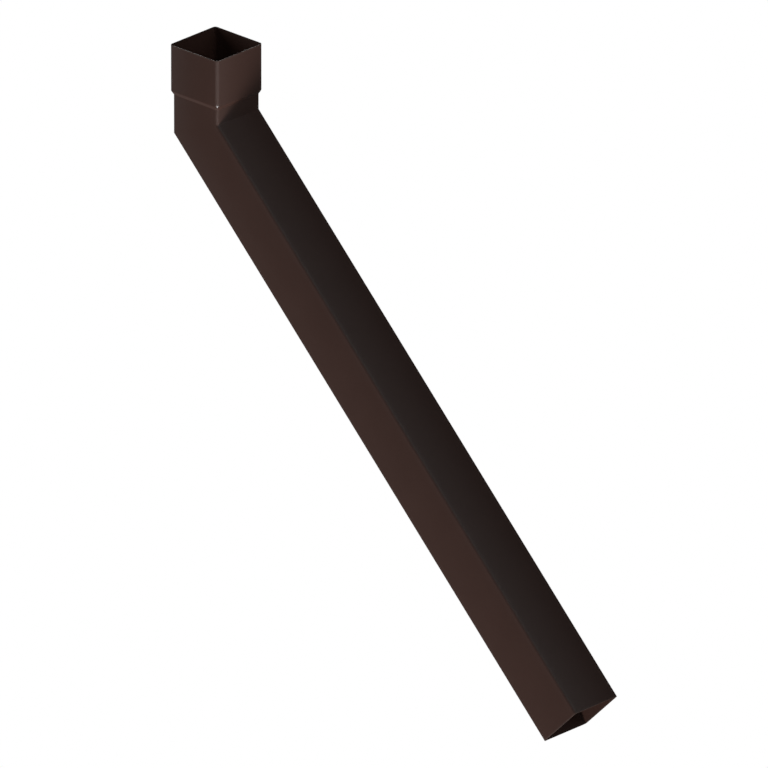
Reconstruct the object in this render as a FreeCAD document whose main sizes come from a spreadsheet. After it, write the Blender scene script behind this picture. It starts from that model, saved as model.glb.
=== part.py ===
import FreeCAD, Part

import math
import os

import Sketcher

# A downspout elbow of thin painted sheet steel: a square pipe whose long straight leg leaves a
# short upright neck at a mitred bend. Above the neck the pipe widens into a socket that takes the
# end of the pipe above. A joggle, a short slope in all four walls, joins the two widths and is the
# stop that the upper pipe comes down on. The leg's lower end is cut square and goes into the socket
# of the next pipe. The corners are folded round, and the round corners carry on through the joggle
# and round the bend, where the two lengths of pipe meet in one plane with the weld dressed flush.
#
# The origin is the centre of the socket's mouth, +Z points up out of it, and the leg runs down
# towards +X. Lengths are in millimetres and angles in degrees.

# The driving dimensions: name, value and meaning.
SIZES = [
    ("pipe_side", 80.0, "outer width of the square pipe"),
    ("corner_radius", 3.6, "outer radius of the pipe's four folded corners"),
    ("wall", 0.6, "thickness of the sheet"),
    ("socket_gap", 2.2, "play on each side between the socket and the pipe that enters it"),
    ("socket_corner_radius", 4.2, "outer radius of the socket's four corners"),
    ("socket_depth", 65.0, "straight length of the socket, from its rim to the joggle"),
    ("joggle_height", 6.5, "height over which the walls slope in from the socket to the pipe"),
    ("joggle_radius", 1.5, "inside radius of the bends at the joggle's two ends"),
    ("mitre_depth", 108.5, "from the rim down to the point where the two centre lines meet"),
    ("bend_angle", 45.0, "turn of the leg away from straight down"),
    ("leg_length", 923.0, "from that point along the leg's centre line to its cut end"),
]

# Expressions that several features share.
SOCKET_SIDE = "sizes.pipe_side + 2 * (sizes.socket_gap + sizes.wall)"
JOGGLE_TOP = "-sizes.socket_depth"
JOGGLE_BOTTOM = "-(sizes.socket_depth + sizes.joggle_height)"
# The slope is as thick as the walls, so on the sheet's inner face both bends lie this much higher.
INNER_LIFT = "sizes.wall * tan(atan((sizes.socket_gap + sizes.wall) / sizes.joggle_height) / 2)"
OUTER_BEND = "sizes.joggle_radius + sizes.wall"
INNER_BEND = "sizes.joggle_radius"


def make_sheet(doc):
    """The driving dimensions, one named cell each."""
    sheet = doc.addObject("Spreadsheet::Sheet", "sizes")
    for row, (name, value, meaning) in enumerate(SIZES, start=1):
        sheet.set(f"A{row}", name)
        sheet.set(f"B{row}", str(value))
        sheet.set(f"C{row}", meaning)
        sheet.setAlias(f"B{row}", name)
    doc.recompute()
    return sheet


def new_sketch(body, name, role):
    """An empty sketch on one of the body's own three planes."""
    sketch = body.newObject("Sketcher::SketchObject", name)
    plane = next(item for item in body.Origin.OriginFeatures if item.Role == role)
    sketch.AttachmentSupport = [(plane, "")]
    sketch.MapMode = "FlatFace"
    return sketch


def add_dimension(sketch, expression, *constraint):
    """A dimension of the sketch that follows an expression of the sheet's cells."""
    index = sketch.addConstraint(Sketcher.Constraint(*constraint))
    sketch.setExpression(f"Constraints[{index}]", expression)


def rounded_square(body, name, side, radius, height):
    """A level outline of the pipe, a square with round corners centred on the pipe's axis.

    Lines 0 to 3 are the front, right, back and left walls, and arc 4 + n follows line n.
    """
    sketch = new_sketch(body, name, "XY_Plane")
    sketch.setExpression("AttachmentOffset.Base.z", height)
    sheet = body.Document.getObject("sizes")
    half = sheet.pipe_side / 2
    bend = sheet.corner_radius
    for number in range(4):
        turn = FreeCAD.Rotation(FreeCAD.Vector(0, 0, 1), 90 * number)
        start = turn.multVec(FreeCAD.Vector(bend - half, -half, 0))
        end = turn.multVec(FreeCAD.Vector(half - bend, -half, 0))
        sketch.addGeometry(Part.LineSegment(start, end))
    for number in range(4):
        turn = FreeCAD.Rotation(FreeCAD.Vector(0, 0, 1), 90 * number)
        centre = turn.multVec(FreeCAD.Vector(half - bend, bend - half, 0))
        circle = Part.Circle(centre, FreeCAD.Vector(0, 0, 1), bend)
        begin = (number - 1) * math.pi / 2
        sketch.addGeometry(Part.ArcOfCircle(circle, begin, begin + math.pi / 2))
    for line in range(4):
        arc = 4 + line
        next_line = (line + 1) % 4
        run = "Horizontal" if line % 2 == 0 else "Vertical"
        sketch.addConstraint(Sketcher.Constraint(run, line))
        sketch.addConstraint(Sketcher.Constraint("Tangent", line, 2, arc, 1))
        sketch.addConstraint(Sketcher.Constraint("Tangent", arc, 2, next_line, 1))
    for arc in (5, 6, 7):
        sketch.addConstraint(Sketcher.Constraint("Equal", 4, arc))
    sketch.addConstraint(Sketcher.Constraint("Symmetric", 4, 3, 6, 3, -1, 1))
    add_dimension(sketch, radius, "Radius", 4, bend)
    add_dimension(sketch, side, "DistanceX", 3, 1, 1, 1, 2 * half)
    add_dimension(sketch, side, "DistanceY", 0, 1, 2, 1, 2 * half)
    return sketch


def centre_line(body):
    """The water's path seen from the side: line 0 is the socket, 1 the neck and 2 the leg."""
    sketch = new_sketch(body, "centre_line", "XZ_Plane")
    sheet = body.Document.getObject("sizes")
    joggle_end = sheet.socket_depth + sheet.joggle_height
    turn = math.radians(sheet.bend_angle)
    mouth = FreeCAD.Vector(0, 0, 0)
    neck_start = FreeCAD.Vector(0, -joggle_end, 0)
    mitre = FreeCAD.Vector(0, -sheet.mitre_depth, 0)
    leg = FreeCAD.Vector(math.sin(turn), -math.cos(turn), 0) * sheet.leg_length
    stations = [mouth, neck_start, mitre, mitre + leg]
    for start, end in zip(stations, stations[1:]):
        sketch.addGeometry(Part.LineSegment(start, end))
    sketch.addConstraint(Sketcher.Constraint("Coincident", 0, 1, -1, 1))
    sketch.addConstraint(Sketcher.Constraint("Coincident", 0, 2, 1, 1))
    sketch.addConstraint(Sketcher.Constraint("Coincident", 1, 2, 2, 1))
    sketch.addConstraint(Sketcher.Constraint("Vertical", 0))
    sketch.addConstraint(Sketcher.Constraint("Vertical", 1))
    add_dimension(sketch, f"-({JOGGLE_BOTTOM})", "DistanceY", 0, 2, -1, 1, joggle_end)
    add_dimension(sketch, "sizes.mitre_depth", "DistanceY", 1, 2, -1, 1, sheet.mitre_depth)
    add_dimension(sketch, "sizes.leg_length", "Distance", 2, sheet.leg_length)
    add_dimension(sketch, "180 - sizes.bend_angle", "Angle", 2, 1, 1, 2, math.pi - turn)
    return sketch


def add_feature(body, kind, name, **properties):
    """The body's next feature, recomputed so that the one after it can read its edges."""
    feature = body.newObject(kind, name)
    for key, value in properties.items():
        setattr(feature, key, value)
    body.Document.recompute()
    return feature


def bend_edges(shape, outline):
    """The names of the shape's edges that lie on a level outline, all the way round."""
    wanted = outline.Shape.BoundBox
    names = []
    for number, edge in enumerate(shape.Edges, start=1):
        box = edge.BoundBox
        level = max(abs(box.ZMin - wanted.ZMin), abs(box.ZMax - wanted.ZMax)) < 1e-4
        reach = max(box.XMax, -box.XMin, box.YMax, -box.YMin)
        if level and abs(reach - wanted.XMax) < 1e-4:
            names.append(f"Edge{number}")
    return names


def bend_fillet(body, name, outline, radius):
    """Rounds the shape's edges along an outline by a radius from the sheet."""
    base = body.Tip
    fillet = body.newObject("PartDesign::Fillet", name)
    fillet.Base = (base, bend_edges(base.Shape, outline))
    fillet.setExpression("Radius", radius)
    body.Document.recompute()


def make_outside(body, path):
    """The elbow as a solid bar: pipe, joggle and socket, with the joggle's bends rounded."""
    pipe = rounded_square(body, "pipe_outside", "sizes.pipe_side", "sizes.corner_radius",
                          JOGGLE_BOTTOM)
    socket = rounded_square(body, "socket_outside", SOCKET_SIDE, "sizes.socket_corner_radius",
                            JOGGLE_TOP)
    body.Document.recompute()
    add_feature(body, "PartDesign::AdditivePipe", "pipe", Profile=pipe,
                Spine=(path, ["Edge2", "Edge3"]), Transition="Right corner")
    add_feature(body, "PartDesign::AdditiveLoft", "joggle", Profile=pipe, Sections=[socket],
                Ruled=True)
    bar = body.newObject("PartDesign::Pad", "socket")
    bar.Profile = socket
    bar.setExpression("Length", "sizes.socket_depth")
    body.Document.recompute()
    bend_fillet(body, "outer_bend_above", socket, OUTER_BEND)
    bend_fillet(body, "outer_bend_below", pipe, INNER_BEND)


def make_bore(body, path):
    """Hollows the bar to the sheet's thickness, from the mouth down to the leg's cut end."""
    pipe = rounded_square(body, "pipe_inside", "sizes.pipe_side - 2 * sizes.wall",
                          "sizes.corner_radius - sizes.wall", f"{JOGGLE_BOTTOM} + {INNER_LIFT}")
    socket = rounded_square(body, "socket_inside", f"{SOCKET_SIDE} - 2 * sizes.wall",
                            "sizes.socket_corner_radius - sizes.wall", f"{JOGGLE_TOP} + {INNER_LIFT}")
    body.Document.recompute()
    add_feature(body, "PartDesign::SubtractivePipe", "pipe_bore", Profile=pipe,
                Spine=(path, ["Edge1", "Edge2", "Edge3"]), Transition="Right corner")
    add_feature(body, "PartDesign::SubtractiveLoft", "joggle_bore", Profile=pipe,
                Sections=[socket], Ruled=True)
    bore = body.newObject("PartDesign::Pocket", "socket_bore")
    bore.Profile = socket
    bore.Reversed = True
    bore.setExpression("Length", "sizes.socket_depth")
    body.Document.recompute()
    bend_fillet(body, "inner_bend_above", socket, INNER_BEND)
    bend_fillet(body, "inner_bend_below", pipe, OUTER_BEND)


def make_elbow(doc):
    """The elbow's body, one solid."""
    body = doc.addObject("PartDesign::Body", "elbow")
    body.Label = "elbow"
    body.Placement = FreeCAD.Placement()
    doc.recompute()
    path = centre_line(body)
    doc.recompute()
    make_outside(body, path)
    make_bore(body, path)
    return body


def check(doc, body):
    """Stops if a feature failed, or if the elbow isn't one hollow solid of the sheet's thickness."""
    for item in doc.Objects:
        if "Invalid" in item.State or "Error" in item.State:
            raise RuntimeError(f"{item.Name} failed: {item.State}")
    shape = body.Shape
    if shape.isNull() or not shape.isValid() or len(shape.Solids) != 1:
        raise RuntimeError("the elbow is not one valid solid")
    sheet_metal = shape.Area / 2 * doc.getObject("sizes").wall
    if abs(shape.Volume / sheet_metal - 1) > 0.01:
        raise RuntimeError("the elbow's walls are not the sheet's thickness all over")


def main():
    doc = FreeCAD.newDocument("downspout_elbow")
    make_sheet(doc)
    elbow = make_elbow(doc)
    doc.recompute()
    check(doc, elbow)
    os.makedirs("parts", exist_ok=True)
    elbow.Shape.exportStep(f"parts/{elbow.Label}.step")


main()
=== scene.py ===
import math

import bpy
import numpy as np
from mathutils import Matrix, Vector


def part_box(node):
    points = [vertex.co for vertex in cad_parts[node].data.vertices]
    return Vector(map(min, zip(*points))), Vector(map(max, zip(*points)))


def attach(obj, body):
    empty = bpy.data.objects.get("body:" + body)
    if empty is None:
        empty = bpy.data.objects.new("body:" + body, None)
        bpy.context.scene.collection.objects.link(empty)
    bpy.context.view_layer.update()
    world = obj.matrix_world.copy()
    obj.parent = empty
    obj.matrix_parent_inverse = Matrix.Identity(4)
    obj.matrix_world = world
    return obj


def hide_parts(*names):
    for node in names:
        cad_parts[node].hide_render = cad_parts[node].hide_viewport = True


bl_info = {
    "name": "Square downspout elbow",
    "version": (1, 0, 0),
    "blender": (4, 5, 0),
    "location": "View3D > Sidebar > Elbow",
    "description": "A long-leg elbow of coated sheet steel for square rain pipe, with its stage",
    "category": "Add Mesh",
}

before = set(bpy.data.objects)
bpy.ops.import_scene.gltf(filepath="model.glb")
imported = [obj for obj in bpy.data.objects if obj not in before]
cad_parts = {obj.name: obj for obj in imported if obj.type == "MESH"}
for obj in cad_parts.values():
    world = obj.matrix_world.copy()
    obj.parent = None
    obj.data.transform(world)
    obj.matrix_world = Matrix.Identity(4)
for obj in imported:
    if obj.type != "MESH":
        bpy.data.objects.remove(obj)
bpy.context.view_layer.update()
ELBOW_LOW, ELBOW_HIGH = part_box("elbow")

# The pipe's side and the leg's turn, from which the frame gives the leg's length.
PIPE_SIDE = 0.080
BEND = math.radians(45)

# The middle of the socket's mouth, and half the floor's side, in metres.
MOUTH = np.array([0.0, 0.0, 0.0])
FLOOR_REACH = 3.0

# Steps across each wall and round each corner of the sheet.
FLAT_STEPS = 26
CORNER_STEPS = 10

# How fast the marks of the cut edges, of the folds and of the joggle's die fade, in metres.
EDGE_FALL = 0.0008
FOLD_FALL = 0.003
PRESS_FALL = 0.0018
# How far past the joggle's upper bend the die's mark is strongest, in metres.
PRESS_DROP = 0.0005

# The coating's patterns: how often each comes in a metre. Streaks come more often round the sheet
# than along it.
CLOUDS = 24.0
STREAKS = (180.0, 4.0, 1.0)
WAVES = 16.0
RIPPLES = 700.0
THIN_AND_HIGHLIGHT_PATCHES = 300.0
# The cut edges turn paler by this share, and by more in patches: the coating is thin there, and the
# paler colour is partly a painted highlight along the rims.
THIN_AND_HIGHLIGHT_LEAST = 0.3

# What each pattern and mark adds to the coating's roughness.
CLOUD_DULLNESS = 0.06
STREAK_DULLNESS = 0.04
FOLD_DULLNESS = 0.08
PRESS_DULLNESS = -0.24
CUT_DULLNESS = 0.15

# The die's marks are polished: how strongly and how sharply they mirror.
PRESS_IOR = 3.4
PRESS_ROUGHNESS = 0.08

# How far the lamps stand from the elbow's middle, in metres.
LAMP_DISTANCE = 11.0

# The lamps: name, azimuth and elevation in degrees, width and height in metres, level, and what
# they give. "shade" lights the coating's colour and isn't mirrored in its gloss: the leg's
# underside would mirror those two lamps, at a glancing angle, when it is seen from behind. "shine"
# is only mirrored: the bars draw the light line down the front corner and the spark on the die's
# mark, and the two slope lamps draw the light bands on the joggle.
LAMPS = (
    ("key", 56, -52, 9.4, 1.6, 2.0, "shade"),
    ("left_bar", 10, -25, 9.4, 1.2, 0.06, "shine"),
    ("corner_bar", 52, -25, 9.4, 1.2, 0.08, "shine"),
    ("right_bar", 80, -25, 9.4, 1.2, 0.05, "shine"),
    ("left_slope", 270, -49, 6.6, 6.6, 0.012, "shine"),
    ("right_slope", 130, -42, 3.3, 3.3, 0.008, "shine"),
    ("under", 270, -45, 6.6, 6.6, 0.12, "shade"),
    ("left", 300, 20, 6.6, 6.6, 0.41, "both"),
    ("low_left", 288, -10, 6.6, 6.6, 0.024, "both"),
    ("front_high", 30, 45, 6.6, 6.6, 0.048, "both"),
    ("front_right", 78, 15, 6.6, 6.6, 0.062, "both"),
    ("right", 108, 25, 6.6, 6.6, 0.1, "both"),
    ("low_right", 108, -15, 6.6, 6.6, 0.03, "both"),
    ("far_right", 135, 45, 6.6, 6.6, 0.014, "both"),
    ("high", 90, 60, 6.6, 6.6, 0.058, "both"),
    ("back", 238, 10, 10.0, 6.6, 0.7, "both"),
)


def leg_length_in_frame():
    """The leg's length along its centre line, from the elbow's furthest reach in +X."""
    half = PIPE_SIDE / 2
    return (ELBOW_HIGH.x - half * math.cos(BEND)) / math.sin(BEND)


class ElbowSizes(bpy.types.PropertyGroup):
    """Sizes of the sheet-metal elbow."""

    pipe_side: bpy.props.FloatProperty(
        name="Pipe side", description="Outer width of the square pipe",
        default=PIPE_SIDE, min=0.02, max=0.3, unit="LENGTH", precision=4)
    pipe_corner: bpy.props.FloatProperty(
        name="Pipe corner", description="Outer radius of the pipe's folded corners",
        default=0.0036, min=0.001, max=0.02, unit="LENGTH", precision=4)
    socket_side: bpy.props.FloatProperty(
        name="Socket side", description="Outer width of the socket",
        default=2 * ELBOW_HIGH.y, min=0.02, max=0.3, unit="LENGTH", precision=4)
    socket_corner: bpy.props.FloatProperty(
        name="Socket corner", description="Outer radius of the socket's corners",
        default=0.0042, min=0.001, max=0.02, unit="LENGTH", precision=4)
    wall: bpy.props.FloatProperty(
        name="Wall", description="Thickness of the sheet",
        default=0.0006, min=0.0002, max=0.003, unit="LENGTH", precision=4)
    socket_depth: bpy.props.FloatProperty(
        name="Socket depth", description="Straight length of the socket",
        default=0.065, min=0.01, max=0.2, unit="LENGTH", precision=4)
    joggle_height: bpy.props.FloatProperty(
        name="Joggle height", description="Height of the slope between socket and pipe",
        default=0.0055, min=0.002, max=0.03, unit="LENGTH", precision=4)
    joggle_radius: bpy.props.FloatProperty(
        name="Joggle radius", description="Inside radius of the joggle's upper bend",
        default=0.004, min=0.0003, max=0.01, unit="LENGTH", precision=4)
    heel_radius: bpy.props.FloatProperty(
        name="Heel radius", description="Outside radius of the joggle's lower bend",
        default=0.0015, min=0.0003, max=0.01, unit="LENGTH", precision=4)
    mitre_depth: bpy.props.FloatProperty(
        name="Mitre depth", description="From the rim to where the centre lines meet",
        default=0.1085, min=0.08, max=0.4, unit="LENGTH", precision=4)
    mitre_radius: bpy.props.FloatProperty(
        name="Mitre radius", description="Rounding of the dressed weld at the mitre",
        default=0.0006, min=0.0001, max=0.005, unit="LENGTH", precision=4)
    lean: bpy.props.FloatProperty(
        name="Lean", description="How far a wall's shading leans towards its folds at its edges",
        default=math.radians(8), min=0.0, max=0.3, subtype="ANGLE")
    bend: bpy.props.FloatProperty(
        name="Bend", description="Turn of the leg away from straight down",
        default=BEND, min=0.1, max=1.5, subtype="ANGLE")
    leg_length: bpy.props.FloatProperty(
        name="Leg length", description="Length of the leg along its centre line",
        default=leg_length_in_frame(), min=0.1, max=3.0, unit="LENGTH", precision=4)
    edge_radius: bpy.props.FloatProperty(
        name="Edge radius", description="Rounding of the sheet's cut edges under the coating",
        default=0.00018, min=0.00002, max=0.0003, unit="LENGTH", precision=5)


class CoatingLook(bpy.types.PropertyGroup):
    """Colour and finish of the coating."""

    colour: bpy.props.FloatVectorProperty(
        name="Colour", description="Body colour of the coating", subtype="COLOR", size=3,
        min=0.0, max=1.0, default=(0.045, 0.0233, 0.0184))
    mottle: bpy.props.FloatProperty(
        name="Mottle", description="How far the colour strays from place to place, as a share",
        default=0.05, min=0.0, max=0.5, subtype="FACTOR")
    # The paler colour of the cut edges: partly thin coating, partly a painted highlight along the rims.
    pale_edge_and_highlight_colour: bpy.props.FloatVectorProperty(
        name="Edge colour", description="Colour where the coating is thin on the cut edges",
        subtype="COLOR", size=3, min=0.0, max=1.0, default=(0.06, 0.04, 0.034))
    roughness: bpy.props.FloatProperty(
        name="Roughness", description="Roughness of the satin coating",
        default=0.32, min=0.05, max=1.0, subtype="FACTOR")
    peel: bpy.props.FloatProperty(
        name="Orange peel", description="Height of the coating's fine ripple, in millimetres",
        default=0.004, min=0.0, max=0.05, precision=4)
    wave: bpy.props.FloatProperty(
        name="Wave", description="Height of the sheet's long shallow waves, in millimetres",
        default=0.05, min=0.0, max=0.5, precision=3)


class StageLook(bpy.types.PropertyGroup):
    """The floor, the light and the camera."""

    floor_drop: bpy.props.FloatProperty(
        name="Floor drop", description="Height of the elbow's mouth above the floor",
        default=10.0, min=0.8, max=30.0, unit="LENGTH")
    floor_colour: bpy.props.FloatVectorProperty(
        name="Floor colour", description="Colour of the pale floor", subtype="COLOR", size=3,
        min=0.0, max=1.0, default=(0.8, 0.8, 0.8))
    floor_white: bpy.props.FloatProperty(
        name="Floor white", description="What the floor adds where the camera sees it",
        default=1.0, min=0.0, max=1.0)
    sky: bpy.props.FloatProperty(
        name="Sky", description="Strength of the even light from all round",
        default=0.028, min=0.0, max=2.0)
    mirrored: bpy.props.FloatProperty(
        name="Mirrored", description="Share of the white surroundings that the coating mirrors",
        default=0.01, min=0.0, max=1.0, subtype="FACTOR")
    lamp_level: bpy.props.FloatProperty(
        name="Lamp level", description="Strength of all lamps together",
        default=1.0, min=0.0, max=10.0)


def new_mesh_object(name, points, faces):
    """A mesh object in the scene, from an array of points and an array of faces."""
    mesh = bpy.data.meshes.new(name)
    mesh.from_pydata(points.reshape(-1, 3).tolist(), [], faces.tolist())
    mesh.update()
    piece = bpy.data.objects.new(name, mesh)
    bpy.context.scene.collection.objects.link(piece)
    return piece


def add_map(mesh, name, places):
    """A UV map from the place of each corner of each face, in metres."""
    layer = mesh.uv_layers.new(name=name)
    layer.data.foreach_set("uv", places.reshape(-1))


def add_mask(mesh, name, values):
    """A value from 0 to 1 for each point of the mesh, which the material reads by its name."""
    layer = mesh.attributes.new(name=name, type="FLOAT", domain="POINT")
    layer.data.foreach_set("value", values.reshape(-1).astype(np.float32))


def rounded_polygon(corners, radii, arc_steps, run_steps):
    """The points of a closed outline whose corners are arcs.

    At a corner C where the outline turns by the angle T from direction a to direction b, the arc
    of radius r starts at C - r tan(T/2) a, and its point at the angle p is that start plus
    r sin(p) a plus r (1 - cos(p)) n, with n square to a on b's side. Straight stretches get points
    spaced as (1 - cos) so that they crowd at both ends.
    """
    corners = np.asarray(corners, float)
    before = corners - np.roll(corners, 1, axis=0)
    after = np.roll(corners, -1, axis=0) - corners
    before /= np.linalg.norm(before, axis=1)[:, None]
    after /= np.linalg.norm(after, axis=1)[:, None]
    cosine = np.clip((before * after).sum(axis=1), -1, 1)
    turn = np.arccos(cosine)
    normal = after - cosine[:, None] * before
    normal /= np.maximum(np.linalg.norm(normal, axis=1), 1e-12)[:, None]
    radii = np.asarray(radii, float)
    tangent = radii * np.tan(turn / 2)
    starts = corners - tangent[:, None] * before
    ends = corners + tangent[:, None] * after
    stretches = []
    for number, steps in enumerate(arc_steps):
        angle = turn[number] * np.linspace(0, 1, steps + 1)[:, None]
        arc = (starts[number]
               + radii[number] * np.sin(angle) * before[number]
               + radii[number] * (1 - np.cos(angle)) * normal[number])
        share = (1 - np.cos(np.linspace(0, math.pi, run_steps[number] + 1)[1:-1, None])) / 2
        following = starts[(number + 1) % len(corners)]
        stretches += [arc, ends[number] + share * (following - ends[number])]
    return np.concatenate(stretches)


def square_outline(flat_steps, corner_steps):
    """A square with round corners, as arrays A and N of unit values, and a lean for each point.

    The outline of half width h and corner radius r is (h - r) A + r N: A is a point of the
    square through the corner arcs' centres, and N is the direction straight out of the wall. The
    lean goes evenly from -1 to 1 along each wall, and back to -1 round each corner.
    """
    anchors, normals, leans = [], [], []
    spread = -np.cos(np.linspace(0, math.pi, flat_steps + 1)[1:-1])
    sweep = np.linspace(0, 1, corner_steps + 1)
    for number in range(4):
        first = (number - 1) * math.pi / 2
        angle = first + sweep * math.pi / 2
        corner = math.sqrt(2) * np.array([math.cos(first + math.pi / 4), math.sin(first + math.pi / 4)])
        ahead = np.array([-corner[1], corner[0]])
        wall = (corner + ahead) / 2
        along = (ahead - corner) / 2
        anchors += [np.repeat(corner[None], len(angle), axis=0), wall + spread[:, None] * along]
        normals += [np.stack([np.cos(angle), np.sin(angle)], axis=1),
                    np.repeat(wall[None], len(spread), axis=0)]
        leans += [1 - 2 * sweep, spread]
    return np.concatenate(anchors), np.concatenate(normals), np.concatenate(leans)


def path_frames(sizes, run):
    """For each distance along the centre line, a point on it and the direction across it.

    The line goes straight down to the mitre and then along the leg. Near the mitre the direction
    across leans towards the mitre plane by a share that grows from 0 to 1, so that a ring of
    points there lies in that plane, and the turn itself is an arc of the mitre's small radius.
    """
    down = np.array([0.0, 0.0, -1.0])
    out = np.array([1.0, 0.0, 0.0])
    along = math.sin(sizes.bend) * out + math.cos(sizes.bend) * down
    across_leg = math.cos(sizes.bend) * out - math.sin(sizes.bend) * down
    lean = math.tan(sizes.bend / 2)
    tangent = sizes.mitre_radius * lean
    past = run - sizes.mitre_depth
    mitre = MOUTH + sizes.mitre_depth * down
    upper = past < -tangent
    lower = past > tangent
    neck_length = sizes.mitre_depth - sizes.socket_depth - sizes.joggle_height
    share = np.where(past < 0, 1 + (past + tangent) / (neck_length - tangent),
                     1 - (past - tangent) / (2 * sizes.pipe_side))
    share = np.clip(share, 0, 1)[:, None]
    angle = np.clip((past + tangent) / (2 * tangent), 0, 1)[:, None] * sizes.bend
    centre = (mitre + (sizes.mitre_radius * np.sin(angle) - tangent) * down
              + sizes.mitre_radius * (1 - np.cos(angle)) * out)
    centre = np.where(upper[:, None], mitre + past[:, None] * down, centre)
    centre = np.where(lower[:, None], mitre + past[:, None] * along, centre)
    across = np.where(lower[:, None], across_leg + share * lean * along,
                      out - np.where(upper[:, None], share, 1.0) * lean * down)
    return centre, across


def sheet_profile(sizes):
    """The cut through the sheet: half width against distance along the path, all the way round.

    It runs down the outside from the rim to the leg's cut end and back up the inside. Each row
    gives a corner of the cut, its radius, the steps round it and the steps to the next corner.
    """
    socket = sizes.socket_side / 2
    pipe = sizes.pipe_side / 2
    joggle_end = sizes.socket_depth + sizes.joggle_height
    leg_end = sizes.mitre_depth + sizes.leg_length
    mitre_turn = sizes.mitre_radius * math.tan(sizes.bend / 2)
    mitre_above = sizes.mitre_depth - mitre_turn
    mitre_below = sizes.mitre_depth + mitre_turn
    slope = math.atan((socket - pipe) / sizes.joggle_height)
    lift = sizes.wall * math.tan(slope / 2)
    edge, brow, heel = sizes.edge_radius, sizes.joggle_radius, sizes.heel_radius
    rows = [
        (socket, 0.0, edge, 4, 16),
        (socket, sizes.socket_depth, brow + sizes.wall, 8, 4),
        (pipe, joggle_end, heel, 5, 12),
        (pipe, mitre_above, 0.0, 0, 4),
        (pipe, mitre_below, 0.0, 0, 64),
        (pipe, leg_end, edge, 4, 2),
        (pipe - sizes.wall, leg_end, edge, 4, 64),
        (pipe - sizes.wall, mitre_below, 0.0, 0, 4),
        (pipe - sizes.wall, mitre_above, 0.0, 0, 12),
        (pipe - sizes.wall, joggle_end - lift, heel + sizes.wall, 5, 4),
        (socket - sizes.wall, sizes.socket_depth - lift, brow, 8, 16),
        (socket - sizes.wall, 0.0, edge, 4, 2),
    ]
    halves, runs, radii, arc_steps, run_steps = zip(*rows)
    return rounded_polygon(np.column_stack([halves, runs]), radii, arc_steps, run_steps)


def elbow_surface(sizes):
    """The whole sheet as one closed grid: its profile in one direction, the square in the other.

    A ring of half width h and corner radius r at the distance s is C(s) + U a(s) + V y, where C
    is the centre line, a the direction across it, y the level direction, and (U, V) is the
    square outline (h - r) A + r N.
    """
    half, run = sheet_profile(sizes).T
    share = np.clip((run - sizes.socket_depth) / sizes.joggle_height, 0, 1)
    skin_half = (sizes.socket_side + share * (sizes.pipe_side - sizes.socket_side)) / 2
    skin_corner = sizes.socket_corner + share * (sizes.pipe_corner - sizes.socket_corner)
    corner = skin_corner - (skin_half - half)
    anchors, normals, _ = square_outline(FLAT_STEPS, CORNER_STEPS)
    outline = (half - corner)[:, None, None] * anchors + corner[:, None, None] * normals
    centre, across = path_frames(sizes, run)
    level = np.array([0.0, 1.0, 0.0])
    return centre[:, None, :] + outline[..., :1] * across[:, None, :] + outline[..., 1:] * level


def lean_normals(sizes, points, mesh):
    """Shades each wall as folded sheet, whose surface leans a little towards its folds.

    The normal n at a point becomes n cos(a) + t sin(a), where t runs round the ring and the angle
    a is the lean there, turned over on the inside of the sheet. The die's marks on the corners are
    flat: the normal there points level, straight out of the corner.
    """
    normals = np.empty(points.size, dtype=np.float32)
    mesh.vertices.foreach_get("normal", normals)
    normals = normals.reshape(points.shape)
    tangent = np.roll(points, -1, axis=1) - np.roll(points, 1, axis=1)
    tangent /= np.linalg.norm(tangent, axis=-1, keepdims=True)
    run = sheet_profile(sizes)[:, 1]
    side = np.sign(np.roll(run, -1) - np.roll(run, 1))
    _, outwards, leans = square_outline(FLAT_STEPS, CORNER_STEPS)
    angle = sizes.lean * side[:, None, None] * leans[:, None]
    leaned = normals * np.cos(angle) + tangent * np.sin(angle)
    level = side[:, None, None] * np.column_stack([outwards, np.zeros(len(outwards))])
    pressed = near_joggle(sizes)[:, :, None]
    leaned = (1 - pressed) * leaned + pressed * level
    leaned /= np.linalg.norm(leaned, axis=-1, keepdims=True)
    mesh.normals_split_custom_set_from_vertices(leaned.reshape(-1, 3).tolist())


def lengths_round(points):
    """The distance walked at each point of a closed line, and its whole length at the end."""
    steps = np.linalg.norm(np.roll(points, -1, axis=0) - points, axis=-1)
    return np.concatenate([[0.0], np.cumsum(steps)])


def near_ends(sizes, points):
    """1 on the sheet's two cut edges, falling to 0 over a distance f: exp(-(d / f) squared)."""
    run = sheet_profile(sizes)[:, 1]
    leg_end = sizes.mitre_depth + sizes.leg_length
    distance = np.minimum(run, leg_end - run) - sizes.edge_radius
    fall = np.exp(-(np.maximum(distance, 0) / EDGE_FALL) ** 2)
    return np.repeat(fall[:, None], points.shape[1], axis=1)


def near_folds(sizes):
    """On the folded corners 1 for the pipe and 0.5 for the socket, whose folds are crisper; it
    falls to 0 over a distance f: exp(-(d / f) squared)."""
    anchors = square_outline(FLAT_STEPS, CORNER_STEPS)[0]
    distance = (1 - np.abs(anchors).min(axis=1)) * (sizes.pipe_side / 2 - sizes.pipe_corner)
    below = sheet_profile(sizes)[:, 1] > sizes.socket_depth + sizes.joggle_height / 2
    return np.where(below, 1.0, 0.5)[:, None] * np.exp(-(distance / FOLD_FALL) ** 2)


def near_joggle(sizes):
    """1 in the middle of the socket's corners where the joggle turns in, falling to 0 all round:
    exp(-(d / f) squared) along the sheet, times the 4th power of 2 Nx Ny round the corner."""
    normals = square_outline(FLAT_STEPS, CORNER_STEPS)[1]
    middle = np.abs(2 * normals[:, 0] * normals[:, 1]) ** 4
    distance = sheet_profile(sizes)[:, 1] - sizes.socket_depth - PRESS_DROP
    return np.exp(-(distance / PRESS_FALL) ** 2)[:, None] * middle


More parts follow.
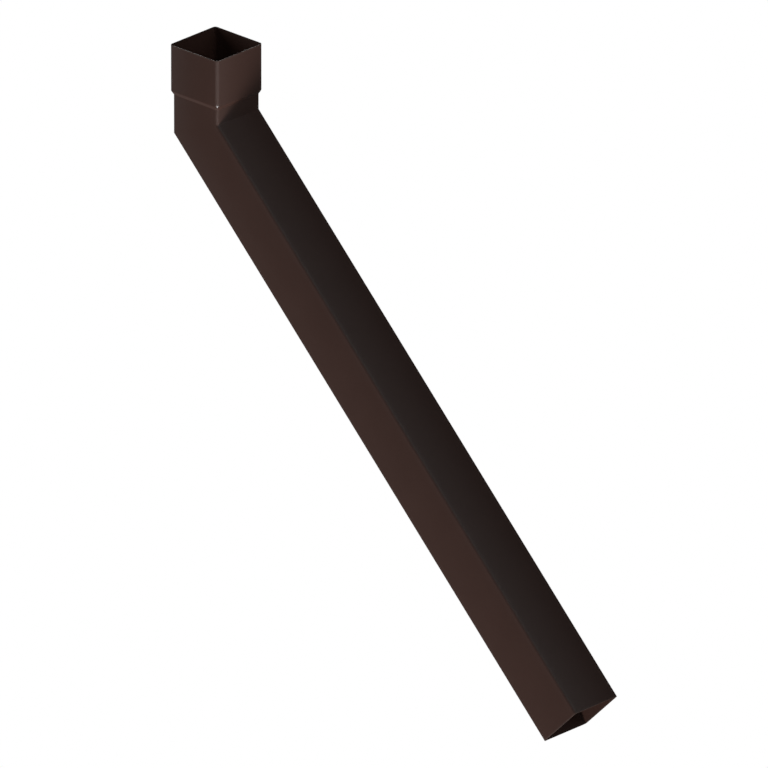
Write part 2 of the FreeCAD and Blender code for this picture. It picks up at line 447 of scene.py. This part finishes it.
def closed_grid(rows, columns):
    """The corners of each quad of a grid that closes on itself both ways, as rows and columns.

    The row or column after the last one is given as their number, so that a map can go on there.
    """
    row = np.arange(rows)[:, None]
    column = np.arange(columns)[None, :]
    shape = (rows, columns)
    quad_rows = [np.broadcast_to(row + step, shape) for step in (0, 1, 1, 0)]
    quad_columns = [np.broadcast_to(column + step, shape) for step in (0, 0, 1, 1)]
    return np.stack(quad_rows, axis=-1).reshape(-1, 4), np.stack(quad_columns, axis=-1).reshape(-1, 4)


def signed_volume(points, faces):
    """Six times the volume inside the quads; above zero when they face outwards."""
    a, b, c, d = (points.reshape(-1, 3)[faces[:, k]] for k in range(4))
    return float((np.cross(a, b) * c).sum() + (np.cross(a, c) * d).sum())


def add_node(tree, kind, inputs, **settings):
    """A node with its settings, and with each input set to a value or linked to a socket."""
    node = tree.nodes.new(kind)
    for key, value in settings.items():
        setattr(node, key, value)
    for key, value in inputs.items():
        if isinstance(value, bpy.types.NodeSocket):
            tree.links.new(value, node.inputs[key])
        else:
            node.inputs[key].default_value = value
    return node


def add_math(tree, operation, *values):
    """The result of a calculation on values or sockets."""
    return add_node(tree, "ShaderNodeMath", dict(enumerate(values)), operation=operation).outputs[0]


def add_noise(tree, place, scale, detail=2.0):
    """A soft random value from 0 to 1 that changes over the distance 1 / scale."""
    inputs = {"Vector": place, "Scale": scale, "Detail": detail}
    return add_node(tree, "ShaderNodeTexNoise", inputs).outputs["Fac"]


def add_mix(tree, share, first, second):
    """The first colour at the share 0 and the second one at 1."""
    node = add_node(tree, "ShaderNodeMix", {0: share}, data_type="RGBA")
    for socket, colour in ((node.inputs[6], first), (node.inputs[7], second)):
        if isinstance(colour, bpy.types.NodeSocket):
            tree.links.new(colour, socket)
        else:
            socket.default_value = (*colour, 1)
    return node.outputs[2]


def coating(look):
    """The satin coating: colour and gloss that stray a little, fine ripple and shallow waves.

    Faint streaks run along the sheet, as the coating was rolled on, and follow it round the bend
    by the UV map. On the cut edges the coating is thin and dry, and its colour is paler there:
    partly thin coating, partly a painted highlight along the rims. On the folds it is a little
    duller, and where the joggle's die has pressed the corners it is polished.
    """
    material = bpy.data.materials.new("brown_coating")
    material.use_nodes = True
    tree = material.node_tree
    place = add_node(tree, "ShaderNodeTexCoord", {}).outputs["Object"]
    sheet = add_node(tree, "ShaderNodeUVMap", {}, uv_map="sheet").outputs["UV"]
    cut = add_node(tree, "ShaderNodeAttribute", {}, attribute_name="cut_edge").outputs["Fac"]
    fold = add_node(tree, "ShaderNodeAttribute", {}, attribute_name="fold").outputs["Fac"]
    pressed = add_node(tree, "ShaderNodeAttribute", {}, attribute_name="pressed").outputs["Fac"]
    rolled = add_node(tree, "ShaderNodeMapping", {"Vector": sheet, "Scale": STREAKS})
    cloud = add_noise(tree, place, CLOUDS, 3.0)
    streak = add_noise(tree, rolled.outputs["Vector"], 1.0)

    deep = [channel * (1 - look.mottle) for channel in look.colour]
    light = [channel * (1 + look.mottle) for channel in look.colour]
    # The cut edges turn paler in patches: thin coating there, and partly a painted highlight along the
    # rims.
    thin = add_math(tree, "ADD", add_noise(tree, place, THIN_AND_HIGHLIGHT_PATCHES), THIN_AND_HIGHLIGHT_LEAST)
    thin = add_math(tree, "MULTIPLY", cut, thin)
    colour = add_mix(tree, thin, add_mix(tree, cloud, deep, light), look.pale_edge_and_highlight_colour)

    dullness = look.roughness - (CLOUD_DULLNESS + STREAK_DULLNESS) / 2
    dullness = add_math(tree, "MULTIPLY_ADD", cloud, CLOUD_DULLNESS, dullness)
    dullness = add_math(tree, "MULTIPLY_ADD", streak, STREAK_DULLNESS, dullness)
    dullness = add_math(tree, "MULTIPLY_ADD", fold, FOLD_DULLNESS, dullness)
    dullness = add_math(tree, "MULTIPLY_ADD", pressed, PRESS_DULLNESS, dullness)
    dullness = add_math(tree, "MULTIPLY_ADD", cut, CUT_DULLNESS, dullness)

    # The heights are in millimetres, so the bump's distance is one of them.
    height = add_math(tree, "MULTIPLY", add_noise(tree, place, WAVES, 1.0), look.wave)
    height = add_math(tree, "MULTIPLY_ADD", add_noise(tree, place, RIPPLES), look.peel, height)
    bump = add_node(tree, "ShaderNodeBump", {"Height": height, "Distance": 0.001})

    shader = tree.nodes["Principled BSDF"]
    tree.links.new(colour, shader.inputs["Base Color"])
    tree.links.new(dullness, shader.inputs["Roughness"])
    tree.links.new(pressed, shader.inputs["Coat Weight"])
    shader.inputs["Coat IOR"].default_value = PRESS_IOR
    shader.inputs["Coat Roughness"].default_value = PRESS_ROUGHNESS
    tree.links.new(bump.outputs["Normal"], shader.inputs["Normal"])
    return material


class ELBOW_OT_sheet(bpy.types.Operator):
    """Makes the elbow's folded and joined sheet with its coating"""

    bl_idname = "elbow.sheet"
    bl_label = "Sheet"
    bl_options = {"REGISTER", "UNDO"}

    def execute(self, context):
        sizes = context.scene.elbow_sizes
        points = elbow_surface(sizes)
        rows, columns = points.shape[:2]
        quad_rows, quad_columns = closed_grid(rows, columns)
        faces = quad_rows % rows * columns + quad_columns % columns
        if signed_volume(points, faces) < 0:
            quad_rows, quad_columns, faces = quad_rows[:, ::-1], quad_columns[:, ::-1], faces[:, ::-1]
        piece = new_mesh_object("elbow_sheet", points, faces)
        piece.data.shade_smooth()
        lean_normals(sizes, points, piece.data)
        around = lengths_round(points[rows // 4])
        along = lengths_round(sheet_profile(sizes))
        add_map(piece.data, "sheet", np.stack([around[quad_columns], along[quad_rows]], axis=-1))
        add_mask(piece.data, "cut_edge", near_ends(sizes, points))
        add_mask(piece.data, "fold", near_folds(sizes))
        add_mask(piece.data, "pressed", near_joggle(sizes))
        piece.data.materials.append(coating(context.scene.elbow_coating))
        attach(piece, "root")
        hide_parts("elbow")
        return {"FINISHED"}


# The camera looks at the elbow from far away, so that parallel edges stay parallel as in the photo.
CAMERA_AZIMUTH = math.radians(43.484)
CAMERA_ELEVATION = math.radians(23.142)
CAMERA_LENS = 1700.0
SENSOR = 36.0
# How far to the right of the mouth's centre and above it the camera aims, and the width that the
# picture takes in there, in metres.
CAMERA_AIM = (0.21822, -0.44226)
PICTURE_WIDTH = 0.99763


def direction(azimuth, elevation):
    """The unit vector from the elbow towards a place at that azimuth and elevation.

    Azimuth 0 is in front of it, towards -Y, and 90 degrees is to its right, towards +X.
    """
    return np.array([math.sin(azimuth) * math.cos(elevation),
                     -math.cos(azimuth) * math.cos(elevation), math.sin(elevation)])


def elbow_middle():
    """The middle of the elbow's box."""
    return (np.array(ELBOW_LOW) + np.array(ELBOW_HIGH)) / 2


def add_camera():
    """The camera, far off on the photo's direction and aimed at the middle of its picture."""
    back = direction(CAMERA_AZIMUTH, CAMERA_ELEVATION)
    right = np.array([math.cos(CAMERA_AZIMUTH), math.sin(CAMERA_AZIMUTH), 0])
    up = np.cross(back, right)
    aim = CAMERA_AIM[0] * right + CAMERA_AIM[1] * up + float(elbow_middle() @ back) * back
    data = bpy.data.cameras.new("camera")
    data.lens = CAMERA_LENS
    data.sensor_width = SENSOR
    distance = PICTURE_WIDTH * CAMERA_LENS / SENSOR
    data.clip_start = distance / 2
    data.clip_end = distance * 2
    camera = bpy.data.objects.new("camera", data)
    bpy.context.scene.collection.objects.link(camera)
    camera.location = MOUTH + aim + distance * back
    camera.rotation_euler = (math.pi / 2 - CAMERA_ELEVATION, 0, CAMERA_AZIMUTH)
    bpy.context.scene.camera = camera


def white_share(tree, stage):
    """The share of white that a ray sees: all for the camera's and for light through glass, and
    the mirrored share for gloss."""
    path = add_node(tree, "ShaderNodeLightPath", {}).outputs
    straight = add_math(tree, "MAXIMUM", path["Is Camera Ray"], path["Is Transmission Ray"])
    return add_math(tree, "MULTIPLY_ADD", path["Is Glossy Ray"], stage.mirrored, straight)


def floor_finish(stage):
    """A plain pale floor, lifted to white where the camera sees it and clear from below."""
    material = bpy.data.materials.new("pale_floor")
    material.use_nodes = True
    tree = material.node_tree
    tree.nodes.remove(tree.nodes["Principled BSDF"])
    pale = add_node(tree, "ShaderNodeBsdfDiffuse", {"Color": (*stage.floor_colour, 1)})
    strength = add_math(tree, "MULTIPLY", white_share(tree, stage), stage.floor_white)
    lift = add_node(tree, "ShaderNodeEmission", {"Strength": strength})
    top = add_node(tree, "ShaderNodeAddShader", {0: pale.outputs[0], 1: lift.outputs[0]})
    below = add_node(tree, "ShaderNodeBsdfTransparent", {})
    side = add_node(tree, "ShaderNodeNewGeometry", {}).outputs["Backfacing"]
    both = add_node(tree, "ShaderNodeMixShader", {0: side, 1: top.outputs[0], 2: below.outputs[0]})
    tree.links.new(both.outputs[0], tree.nodes["Material Output"].inputs["Surface"])
    return material


def add_floor(stage):
    """The floor, one large square."""
    reach = np.array([[-1, -1], [1, -1], [1, 1], [-1, 1]]) * FLOOR_REACH
    points = np.column_stack([reach, np.full(4, -stage.floor_drop)]) + MOUTH
    floor = new_mesh_object("floor", points, np.array([[0, 1, 2, 3]]))
    floor.data.materials.append(floor_finish(stage))


def add_sky(stage):
    """Even light from all round, which the camera sees as plain white."""
    world = bpy.data.worlds.new("sky")
    world.use_nodes = True
    tree = world.node_tree
    level = add_math(tree, "MULTIPLY_ADD", white_share(tree, stage), 1 - stage.sky, stage.sky)
    background = tree.nodes["Background"]
    background.inputs["Color"].default_value = (1, 1, 1, 1)
    tree.links.new(level, background.inputs["Strength"])
    bpy.context.scene.world = world


def add_lamp(name, azimuth, elevation, width, height, level, gives):
    """A soft lamp, a level rectangle aimed at the elbow's middle.

    At the level 1 it alone would show a white matt surface that faces it as white: the light of a
    lamp of the power P at the distance d is P / (pi d)^2 there.
    """
    data = bpy.data.lights.new(name, "AREA")
    data.shape = "RECTANGLE"
    data.size = width
    data.size_y = height
    data.energy = level * (math.pi * LAMP_DISTANCE) ** 2
    lamp = bpy.data.objects.new(name, data)
    bpy.context.scene.collection.objects.link(lamp)
    towards = direction(math.radians(azimuth), math.radians(elevation))
    lamp.location = elbow_middle() + LAMP_DISTANCE * towards
    lamp.rotation_euler = Vector(towards).to_track_quat("Z", "Y").to_euler()
    lamp.visible_camera = False
    lamp.visible_diffuse = gives != "shine"
    lamp.visible_glossy = gives != "shade"


class ELBOW_OT_stage(bpy.types.Operator):
    """Makes the floor, the lamps, the light from all round and the camera"""

    bl_idname = "elbow.stage"
    bl_label = "Stage"
    bl_options = {"REGISTER", "UNDO"}

    def execute(self, context):
        stage = context.scene.elbow_stage
        add_floor(stage)
        add_sky(stage)
        for name, azimuth, elevation, width, height, level, gives in LAMPS:
            add_lamp(name, azimuth, elevation, width, height, level * stage.lamp_level, gives)
        context.scene.view_settings.view_transform = "Standard"
        add_camera()
        return {"FINISHED"}


class ELBOW_PT_panel(bpy.types.Panel):
    """Lists the elbow's sizes, colours and makers"""

    bl_label = "Downspout elbow"
    bl_idname = "ELBOW_PT_panel"
    bl_space_type = "VIEW_3D"
    bl_region_type = "UI"
    bl_category = "Elbow"

    def draw(self, context):
        layout = self.layout
        for group in (context.scene.elbow_sizes, context.scene.elbow_coating,
                      context.scene.elbow_stage):
            box = layout.box()
            for name in group.bl_rna.properties.keys():
                if name not in ("rna_type", "name"):
                    box.prop(group, name)
        layout.operator(ELBOW_OT_sheet.bl_idname)
        layout.operator(ELBOW_OT_stage.bl_idname)


CLASSES = (ElbowSizes, CoatingLook, StageLook, ELBOW_OT_sheet, ELBOW_OT_stage, ELBOW_PT_panel)
GROUPS = {"elbow_sizes": ElbowSizes, "elbow_coating": CoatingLook, "elbow_stage": StageLook}


def register():
    for item in CLASSES:
        bpy.utils.register_class(item)
    for name, group in GROUPS.items():
        setattr(bpy.types.Scene, name, bpy.props.PointerProperty(type=group))


def unregister():
    for name in GROUPS:
        delattr(bpy.types.Scene, name)
    for item in reversed(CLASSES):
        bpy.utils.unregister_class(item)


def main():
    register()
    bpy.ops.elbow.sheet()
    bpy.ops.elbow.stage()


if __name__ == "__main__":
    main()
